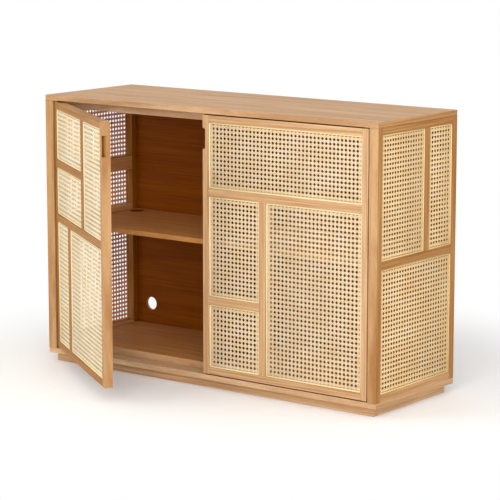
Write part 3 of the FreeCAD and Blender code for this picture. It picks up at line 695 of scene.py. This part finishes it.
@dataclass
class Webbing:
    """Woven cane sheet, drawn flat in XZ with its outer face towards -Y.

    Level and upright strands run in pairs, and single slanting strands cross half-way between the
    pairs' crossings, which leaves eight-sided holes.
    """

    pitch: float = 12.85
    width: float = 2.0
    back: float = -0.15
    crown: float = 0.2
    spread: float = 1.34
    first_hole: float = 16.8
    turned: float = 4.6
    fold: float = 5.25
    tucked: float = 4.9
    flat: float = 2.6
    level_lift: float = 0.12
    rising_lift: float = 0.47
    falling_lift: float = 0.23
    half_sheet: float = 0.7
    # Cells that are woven beyond the outer holes, on both sides together.
    spare_cells: int = 3
    # Points this near a cut lie on it, and points this far past a fold turn with it.
    cut_slack: float = 1e-5
    fold_slack: float = 1e-4
    # Least cosine between a strand's back face, which gets the painted shade, and the inward
    # direction.
    back_shade_limit: float = 0.5

    def build(self, box: Box, chance: random.Random) -> Mesh:
        """Weaves the sheet for one opening.

        Args:
            box: Box of the CAD sheet, in the wall's frame.
            chance: Source of the strands' tones.

        Returns:
            The sheet, in the wall's frame.
        """
        low, high = box
        wide = (high.x - low.x) / MM + 2 * self.turned
        tall = (high.z - low.z) / MM + 2 * self.turned
        across, up = self.rows(wide), self.rows(tall)
        stretch = [(size - 2 * self.first_hole) / (rows * self.pitch)
                   for size, rows in ((wide, across), (tall, up))]
        bm = bmesh.new()
        add_layers(bm)
        self.weave(bm, across, up, chance)
        bmesh.ops.scale(bm, vec=(stretch[0], 1, stretch[1]), verts=bm.verts)
        self.tuck(bm, wide / 2 - self.fold, tall / 2 - self.fold)
        bm.normal_update()
        back_shade = bm.faces.layers.float.new("back_shade")
        for face in bm.faces:
            face.smooth = face.normal.y < 0
            face[back_shade] = float(face.normal.y > self.back_shade_limit)
        set_in(bm, box, self.half_sheet)
        return bm

    def rows(self, size: float) -> int:
        """Number of whole cells between the outer rows of holes in an opening of this size."""
        return max(1, round((size - 2 * self.first_hole) / self.pitch))

    def weave(self, bm: Mesh, across: int, up: int, chance: random.Random) -> None:
        """Lays all strands over an area a little larger than the opening.

        Args:
            bm: Mesh that gets the strands, in millimetres.
            across: Cells between the outer columns of holes.
            up: Cells between the outer rows of holes.
            chance: Source of the strands' tones.
        """
        wide, tall = across + self.spare_cells, up + self.spare_cells
        left, bottom = -wide / 2 * self.pitch, -tall / 2 * self.pitch
        lift = self.level_lift
        level = [(left - self.pitch, lift), (-left + self.pitch, lift)]
        upright = [(bottom - self.pitch, -lift), (-bottom + self.pitch, -lift)]
        along, aloft = Vector((self.pitch, 0, 0)), Vector((0, 0, self.pitch))
        first = left + self.pitch / 2 - tall * self.pitch
        rising = self.stations(tall, self.rising_lift)
        falling = self.stations(tall, -self.falling_lift)
        runs = [
            (self.draw(bm, rising, -45, Vector((first, 0, bottom))), along, wide + tall),
            (self.draw(bm, falling, 45, Vector((first, 0, -bottom))), along, wide + tall),
        ]
        for side in (-self.spread, self.spread):
            runs.append((self.draw(bm, level, 0, Vector((0, 0, bottom + side))), aloft, tall + 1))
            runs.append((self.draw(bm, upright, 90, Vector((left + side, 0, 0))), along, wide + 1))
        for strand, step, count in runs:
            self.repeat(bm, strand, step, count, chance)

    def stations(self, turns: int, lift: float) -> list[Station]:
        """Points along a slanting strand that rises over one pair and dips under the next.

        Args:
            turns: Number of cells that the strand crosses.
            lift: Height of the strand at its first crossing.

        Returns:
            Distance along the strand and height at each point.
        """
        step = self.pitch / math.sqrt(2)
        points = []
        for i in range(2 * turns + 1):
            height = -lift if i % 2 else lift
            points += [(i * step - self.flat, height), (i * step + self.flat, height)]
        return points

    def repeat(self, bm: Mesh, strand: Verts, step: Vector, count: int,
               chance: random.Random) -> None:
        """Repeats a strand side by side and gives every strand its own tone.

        Args:
            bm: Mesh that holds the strand.
            strand: Vertices of the first strand.
            step: From one strand to the next.
            count: Number of strands.
            chance: Source of the tones.
        """
        strands = [strand]
        while len(strands) < count:
            batch = [vert for laid in strands[:count - len(strands)] for vert in laid]
            edges = dict.fromkeys(edge for vert in batch for edge in vert.link_edges)
            faces = dict.fromkeys(face for vert in batch for face in vert.link_faces)
            copies = bmesh.ops.duplicate(bm, geom=[*batch, *edges, *faces])["vert_map"]
            twins = [copies[vert] for vert in batch]
            bmesh.ops.translate(bm, verts=twins, vec=step * len(strands))
            strands += [twins[i:i + len(strand)] for i in range(0, len(twins), len(strand))]
        grain, tone = layers_of(bm)
        for laid in strands:
            shade = chance.random()
            start = own_stretch(chance)
            for vert in laid:
                vert[tone] = shade
                vert[grain] = vert[grain] + start

    def draw(self, bm: Mesh, stations: list[Station], angle: float, place: Vector) -> Verts:
        """Draws one strand: a roof-shaped section carried through its stations.

        Args:
            bm: Mesh that gets the strand.
            stations: Distance along the strand and height at each of its points.
            angle: Turn of the strand in the sheet, in degrees.
            place: Where its zero point lies in the sheet.

        Returns:
            The vertices of the strand.
        """
        grain, _ = layers_of(bm)
        half = self.width / 2
        along, lift = stations[0]
        section = [(-half, self.back), (half, self.back), (0, self.crown)]
        strand = [bm.verts.new((along, -lift - height, side)) for side, height in section]
        end = bm.faces.new(strand)
        for next_along, next_lift in stations[1:]:
            drawn = bmesh.ops.extrude_face_region(bm, geom=[end, *end.edges])["geom"]
            verts = [item for item in drawn if isinstance(item, bmesh.types.BMVert)]
            end = next(item for item in drawn if isinstance(item, bmesh.types.BMFace))
            bmesh.ops.translate(bm, verts=verts, vec=(next_along - along, lift - next_lift, 0))
            along, lift = next_along, next_lift
            strand += verts
        faces = {face for vert in strand for face in vert.link_faces}
        bmesh.ops.recalc_face_normals(bm, faces=list(faces))
        for vert in strand:
            vert[grain] = Vector((vert.co.x, vert.co.z, vert.co.y)) * MM
        turn = Matrix.Rotation(math.radians(angle), 4, "Y")
        bmesh.ops.transform(bm, matrix=Matrix.Translation(place) @ turn, verts=strand)
        return strand

    def tuck(self, bm: Mesh, half_wide: float, half_tall: float) -> None:
        """Trims the sheet, mitres its corners and turns its edges down into the groove.

        Args:
            bm: The woven strands.
            half_wide: Distance from the middle to the upright folds.
            half_tall: Distance from the middle to the level folds.
        """
        folds = [(Vector((side, 0, 0)), half_wide) for side in (-1, 1)]
        folds += [(Vector((0, 0, side)), half_tall) for side in (-1, 1)]
        for normal, reach in folds:
            self.trim(bm, normal, reach + self.tucked)
        for normal in (Vector((x, 0, z)).normalized() for x in (-1, 1) for z in (-1, 1)):
            self.trim(bm, normal, (half_wide + half_tall) / math.sqrt(2))
        for normal, reach in folds:
            self.cut(bm, normal, reach)
        for normal, reach in folds:
            outer = [vert for vert in bm.verts if vert.co.dot(normal) > reach + self.fold_slack]
            turn = Matrix.Rotation(math.radians(90), 3, normal.cross(Vector((0, 1, 0))))
            bmesh.ops.rotate(bm, verts=outer, cent=normal * reach, matrix=turn)

    def trim(self, bm: Mesh, normal: Vector, reach: float) -> None:
        """Cuts the sheet off along a line and caps the strands, each cap facing out of its strand.

        Args:
            bm: The woven strands.
            normal: Direction of the part that comes off.
            reach: Distance of the cut from the middle.
        """
        ends = self.cut(bm, normal, reach, clear_outer=True)
        rims = [item for item in ends if isinstance(item, bmesh.types.BMEdge)]
        caps = bmesh.ops.holes_fill(bm, edges=rims)["faces"]
        loops = [cap.loops[0] for cap in caps]
        inverted = [loop.face for loop in loops if loop.link_loop_radial_next.vert == loop.vert]
        bmesh.ops.reverse_faces(bm, faces=inverted)

    def cut(self, bm: Mesh, normal: Vector, reach: float, **settings: bool) -> list:
        """Cuts the strands through along a line, and gives the vertices and edges of the cut."""
        return bmesh.ops.bisect_plane(bm, geom=[*bm.verts, *bm.edges, *bm.faces],
                                      dist=self.cut_slack, plane_co=normal * reach,
                                      plane_no=normal, **settings)["geom_cut"]


@dataclass
class ReedSpline:
    """Round of reed wedged into the groove: four lengths with mitred ends and a rounded face."""

    width: float = 4.4
    rounding: float = 1.5
    segments: int = 3
    mitre_gap: float = 0.15
    # Edges that rise less than this run along the reed.
    level_slack: float = 1e-6

    def build(self, box: Box, chance: random.Random) -> Mesh:
        """Cuts the four lengths for one opening.

        Args:
            box: Box of the CAD ring, in the wall's frame.
            chance: Source of the lengths' tones.

        Returns:
            The four lengths, in the wall's frame.
        """
        low, high = box
        bm = bmesh.new()
        add_layers(bm)
        wide, deep, tall = (high - low) / MM
        for quarter in range(4):
            length, out = (tall, wide / 2) if quarter % 2 else (wide, tall / 2)
            verts = self.length(bm, length, deep, chance)
            turn = Matrix.Rotation(math.radians(90 * quarter), 4, "Y")
            bmesh.ops.transform(bm, matrix=turn @ Matrix.Translation((0, 0, -out)), verts=verts)
        set_in(bm, box)
        return bm

    def length(self, bm: Mesh, long: float, deep: float, chance: random.Random) -> Verts:
        """Cuts one length along X, its outer edge at Z 0 and its face at Y 0.

        Args:
            bm: Mesh that gets the length.
            long: Length of the outer edge.
            deep: Depth of the reed in the groove.
            chance: Source of its tone.

        Returns:
            The vertices of the length.
        """
        grain, tone = layers_of(bm)
        old = set(bm.verts)
        half = long / 2 - self.mitre_gap
        inner = half - self.width
        outline = [(-half, 0), (half, 0), (inner, self.width), (-inner, self.width)]
        face = bm.faces.new([bm.verts.new((x, 0, z)) for x, z in outline])
        front = [edge for edge in face.edges
                 if abs(edge.verts[0].co.z - edge.verts[1].co.z) < self.level_slack]
        drawn = bmesh.ops.extrude_face_region(bm, geom=[face, *face.edges])["geom"]
        back = [item for item in drawn if isinstance(item, bmesh.types.BMVert)]
        bmesh.ops.translate(bm, verts=back, vec=(0, deep, 0))
        bevel(bm, front, self.rounding, self.segments)
        verts = [vert for vert in bm.verts if vert not in old]
        faces = {item for vert in verts for item in vert.link_faces}
        bmesh.ops.recalc_face_normals(bm, faces=list(faces))
        start = own_stretch(chance)
        shade = chance.random()
        for vert in verts:
            vert[grain] = start + Vector((vert.co.x, vert.co.z, vert.co.y)) * MM
            vert[tone] = shade
        return verts


@dataclass
class FramedWall:
    """A door or side: oak frame members with cane sheets let into their openings."""

    name: str
    facing: Facing
    tones: Span
    peel: Peel = Peel.PLAIN
    inside: Direction | None = None
    # Inner faces, painted light and shade: pale on the rails and front posts, brown on the back
    # posts.
    inner_light_tone: float = 1.3
    inner_back_shade_tone: float = 0.35
    # Members in paler tones: painted light where the floor or the lamps light their faces more.
    lit_members: tuple[str, ...] = ()
    lit_tones: Span = (0.63, 0.71)
    posts: tuple[str, ...] = ()
    post_tones: Span = (0.36, 0.44)
    # Faces of the posts that look to the front, painted light and shade: pale on the front posts,
    # brown on the back posts.
    front_light_tone: float = 0.58
    bay_shade_tone: float = 0.35
    metal: tuple[str, ...] = ()
    webbing: Webbing = field(default_factory=Webbing)
    spline: ReedSpline = field(default_factory=ReedSpline)

    def place(self) -> Matrix:
        """Place of the frame in which the wall is drawn, facing the front and shut."""
        turn = Matrix.Rotation(math.radians(self.facing.value), 4, "Z")
        return rest_turn(body_of(self.name + "_cane")) @ turn

    def build(self, finishes: Finishes) -> None:
        """Makes the members, the cane, the splines and the metal of this wall.

        Args:
            finishes: Finishes of the cabinet.
        """
        self.build_members(finishes)
        for node, label, slot, shape, material in (
                ("_cane", "_webbing_", "cane", self.webbing, finishes.cane_of(self.peel)),
                ("_splines", "_reed_", "reed", self.spline, finishes.reed_of(self.peel))):
            node = self.name + node
            for i, box in enumerate(loose_boxes(node, self.place()), 1):
                bm = shape.build(box, finishes.chance)
                bmesh.ops.transform(bm, matrix=self.place(), verts=bm.verts)
                finish_piece(bm, f"{self.name}{label}{i}", body_of(node), material, [node])
        for node in self.metal:
            keep_node(node, finishes.steel)

    def build_members(self, finishes: Finishes) -> None:
        """Makes the rails with level grain, and the stiles, mullions and posts with upright."""
        inner = ((self.inside, self.inner_light_tone),) if self.inside else ()
        for node in sorted(frame["nodes"]):
            if node in self.posts:
                # Post faces: painted light on the front posts, painted shade on the back posts in
                # the bays.
                front = node.startswith("front")
                front_painted_tone, inward = ((self.front_light_tone, self.inner_light_tone) if front
                                 else (self.bay_shade_tone, self.inner_back_shade_tone))
                Timber(node, Grain.UPRIGHT, self.place(), self.post_tones,
                       shades=(((0, -1, 0), front_painted_tone), (self.inside, inward)),
                       inside=None if front else self.inside).build(finishes)
            elif node.startswith(self.name) and node.endswith(("stile", "mullion", "rail")):
                grain = Grain.ALONG if node.endswith("rail") else Grain.UPRIGHT
                tones = self.lit_tones if node in self.lit_members else self.tones
                Timber(node, grain, self.place(), tones, shades=inner,
                       inside=self.inside).build(finishes)


@dataclass
class ShelfPins:
    """Turned steel pins under the shelves, with rounded ends."""

    node: str = "shelf_pins"
    sides: int = 24
    ease: float = 0.6
    ease_segments: int = 3

    def build(self, finishes: Finishes) -> None:
        """Turns one pin for each pin of the solids.

        Args:
            finishes: Finishes of the cabinet.
        """
        bm = bmesh.new()
        lying = Matrix.Rotation(math.radians(90), 4, "Y")
        for low, high in loose_boxes(self.node, Matrix.Identity(4)):
            size = high - low
            place = Matrix.Translation((low + high) / 2) @ lying
            pin = bmesh.ops.create_cone(bm, cap_ends=True, segments=self.sides, radius1=size.z / 2,
                                        radius2=size.z / 2, depth=size.x, matrix=place)["verts"]
            faces = {face for vert in pin for face in vert.link_faces}
            rims = {edge for face in faces if len(face.verts) == self.sides for edge in face.edges}
            bevel(bm, list(rims), self.ease * MM, self.ease_segments)
        for face in bm.faces:
            face.smooth = len(face.verts) < self.sides
        finish_piece(bm, "turned_shelf_pins", body_of(self.node), finishes.steel,
                     [self.node])


@dataclass
class Carcass:
    """Boards, shelves, back and plinth, and the small hardware in them."""

    top_tones: Span = (0.84, 0.9)
    # The ceiling panel's tones past 1 are painted light on its front edge, which lies in the top
    # board's shadow.
    ceiling_light_tones: Span = (1.3, 1.36)
    # The ends of the outer boards are lipped with darker strips, whose grain runs front to back.
    ends: tuple[Shade, ...] = (((1, 0, 0), 0.56), ((-1, 0, 0), 0.56))
    bottom_ends: tuple[Shade, ...] = (((1, 0, 0), 0.78), ((-1, 0, 0), 0.78))
    standing: tuple[str, ...] = ("plinth_front", "plinth_back")
    inward: tuple[str, ...] = ("plinth_ends", "plinth_stretcher")
    # Shelves in the darker oak, whose colour is painted shade of the bays.
    oiled: tuple[str, ...] = ("left_shelf", "right_shelf")
    # Low tones of the back and divider are painted shade of the bays; the divider's right face is
    # painted darkest, where the right bay lies in shade.
    bay_shade_tones: Span = (0.42, 0.46)
    divider_shade_faces: tuple[Shade, ...] = (((1, 0, 0), 0.0),)
    pins: ShelfPins = field(default_factory=ShelfPins)

    def build(self, finishes: Finishes) -> None:
        """Makes the boards and dresses the hardware.

        Args:
            finishes: Finishes of the cabinet.
        """
        boards = [
            Timber("top_board", Grain.FLAT, tones=self.top_tones, shades=self.ends, lipped=True),
            Timber("bottom_board", Grain.FLAT, shades=self.bottom_ends, lipped=True),
            Timber("ceiling_panel", Grain.FLAT, tones=self.ceiling_light_tones),
            # The floor panel's top face gets the darker oak: painted shade of the bay floor.
            Timber("floor_panel", Grain.FLAT, inside=(0, 0, 1)),
            *(Timber(node, Grain.ALONG) for node in self.standing),
            *(Timber(node, Grain.INWARD) for node in self.inward),
            *(Timber(node, Grain.FLAT, oak=Oak.OILED) for node in self.oiled),
            Timber("centre_divider", Grain.UPRIGHT, tones=self.bay_shade_tones, oak=Oak.VENEER,
                   shades=self.divider_shade_faces),
            Timber("back_panel", Grain.ALONG, tones=self.bay_shade_tones, inside=(0, -1, 0),
                   inner_shade=Oak.VENEER),
        ]
        for board in boards:
            board.build(finishes)
        self.pins.build(finishes)
        keep_node("carcass_dowels", finishes.beech)
        keep_node("pivot_bushes", finishes.brass)
        keep_node("catch_magnets", finishes.ferrite)


@dataclass(frozen=True)
class SoftLamp:
    """Square soft box aimed at the middle of the cabinet."""

    name: str
    place: Sizes
    size: float
    power: float
    target: Sizes = (0.0, 0.0, 0.4)

    def build(self) -> None:
        """Hangs the lamp."""
        lamp = bpy.data.lights.new(self.name, "AREA")
        lamp.shape = "SQUARE"
        lamp.size = self.size
        lamp.energy = self.power
        stand = bpy.data.objects.new(self.name, lamp)
        stand.location = self.place
        aim = Vector(self.target) - Vector(self.place)
        stand.rotation_euler = aim.to_track_quat("-Z", "Y").to_euler()
        bpy.context.scene.collection.objects.link(stand)


@dataclass
class Studio:
    """White paper floor, a room brighter above than around, three soft lamps, and a camera."""

    floor_half: float = 30.0
    paper: str = "f8f8f7"
    paper_in_shade: str = "f0eeea"
    shadow_reach: Span = (0.7, 1.3)
    horizon: float = 0.3
    zenith: float = 0.93
    # Strength at which a glowing surface shows as plain white.
    plain_white: float = 1.0
    lamps: tuple[SoftLamp, ...] = (
        SoftLamp("key_lamp", (2.4, -3.6, 2.2), 4.0, 138.0),
        SoftLamp("fill_lamp", (-3.2, -3.0, 1.8), 3.0, 66.0),
        SoftLamp("side_lamp", (4.2, -0.4, 1.6), 2.5, 31.0),
    )
    camera_place: Sizes = (3.7766, -4.9376, 1.4609)
    camera_yaw: float = 37.275
    camera_pitch: float = 9.942
    # Focal length and width of the photograph in pixels, and the sensor's width in mm.
    focal_pixels: float = 2187.8
    photo_pixels: float = 500.0
    sensor: float = 36.0

    def build(self) -> None:
        """Sets the stage."""
        bpy.context.scene.view_settings.view_transform = "Standard"
        self.build_floor()
        self.build_sky()
        for lamp in self.lamps:
            lamp.build()
        self.build_camera()

    def build_floor(self) -> None:
        """Lays the paper, which keeps the shadow near the cabinet and is plain white beyond."""
        material, tree, output = new_material("matt_white_paper")
        path = add_node(tree, "LightPath").outputs
        seen = combine(tree, "MAXIMUM", path["Is Camera Ray"], path["Is Glossy Ray"])
        place = add_node(tree, "TexCoord").outputs["Object"]
        distance = add_node(tree, "VectorMath", {0: place}, operation="LENGTH").outputs["Value"]
        fade = remap(tree, distance, self.shadow_reach, interpolation_type="SMOOTHSTEP")
        dim = add_node(tree, "BsdfDiffuse", {"Color": linear(self.paper_in_shade)}).outputs[0]
        lit = add_node(tree, "BsdfDiffuse", {"Color": linear(self.paper)}).outputs[0]
        glow = {"Color": WHITE, "Strength": self.plain_white}
        white = add_node(tree, "Emission", glow).outputs[0]
        faded = add_node(tree, "MixShader", {0: fade, 1: lit, 2: white}).outputs[0]
        paper = add_node(tree, "MixShader", {0: seen, 1: dim, 2: faded}).outputs[0]
        tree.links.new(paper, output.inputs["Surface"])
        bm = bmesh.new()
        bmesh.ops.create_grid(bm, x_segments=1, y_segments=1, size=self.floor_half)
        mesh = bpy.data.meshes.new("studio_floor")
        bm.to_mesh(mesh)
        bm.free()
        mesh.materials.append(material)
        floor = bpy.data.objects.new("studio_floor", mesh)
        bpy.context.scene.collection.objects.link(floor)

    def build_sky(self) -> None:
        """Gives the light of the room, and plain white where the camera looks past the paper."""
        world = bpy.data.worlds.new("studio_sky")
        world.use_nodes = True
        tree = world.node_tree
        tree.nodes.clear()
        path = add_node(tree, "LightPath").outputs
        seen = combine(tree, "MAXIMUM", path["Is Camera Ray"], path["Is Glossy Ray"])
        looked = combine(tree, "MAXIMUM", seen, path["Is Transmission Ray"])
        look = add_node(tree, "SeparateXYZ", {0: add_node(tree, "TexCoord").outputs["Generated"]})
        level = remap(tree, look.outputs["Z"], onto=(self.horizon, self.zenith))
        room, white = (add_node(tree, "Background", {"Color": WHITE, "Strength": strength})
                       for strength in (level, self.plain_white))
        mixed = add_node(tree, "MixShader", {0: looked, 1: room.outputs[0], 2: white.outputs[0]})
        output = add_node(tree, "OutputWorld")
        tree.links.new(mixed.outputs[0], output.inputs["Surface"])
        bpy.context.scene.world = world

    def build_camera(self) -> None:
        """Stands the camera where the photograph was taken from."""
        camera = bpy.data.cameras.new("camera")
        camera.sensor_width = self.sensor
        camera.lens = self.focal_pixels / self.photo_pixels * camera.sensor_width
        tripod = bpy.data.objects.new("camera", camera)
        tripod.location = self.camera_place
        tilt, yaw = math.radians(90 - self.camera_pitch), math.radians(self.camera_yaw)
        tripod.rotation_euler = (tilt, 0, yaw)
        bpy.context.scene.collection.objects.link(tripod)
        bpy.context.scene.camera = tripod


def main() -> None:
    """Builds the cabinet wall by wall, then the studio round it."""
    logging.basicConfig(level=logging.INFO, format="%(name)s %(message)s")
    finishes = Finishes()
    Carcass().build(finishes)
    wide_cut = Webbing(width=2.35)
    walls = (
        # Low tone spans on the sides and the left door, high ones on the right door: painted shade
        # for the walls that face away from the light.
        FramedWall("right_side", Facing.RIGHT, (0.3, 0.4), Peel.RIPE, (-1, 0, 0),
                   lit_members=("right_side_bottom_rail",),
                   posts=("front_right_post", "back_right_post")),
        FramedWall("left_side", Facing.LEFT, (0.3, 0.4), Peel.RIPE, (1, 0, 0),
                   posts=("front_left_post", "back_left_post"), webbing=wide_cut),
        FramedWall("left_door", Facing.FRONT, (0.24, 0.32), Peel.PALE,
                   lit_members=("left_door_meeting_stile",),
                   metal=("left_door_pivot_pins", "left_door_strike_plate"), webbing=wide_cut),
        FramedWall("right_door", Facing.FRONT, (0.77, 0.86),
                   metal=("right_door_pivot_pins", "right_door_strike_plate")),
    )
    for wall in walls:
        wall.build(finishes)
    Studio().build()


if __name__ == "__main__":
    main()
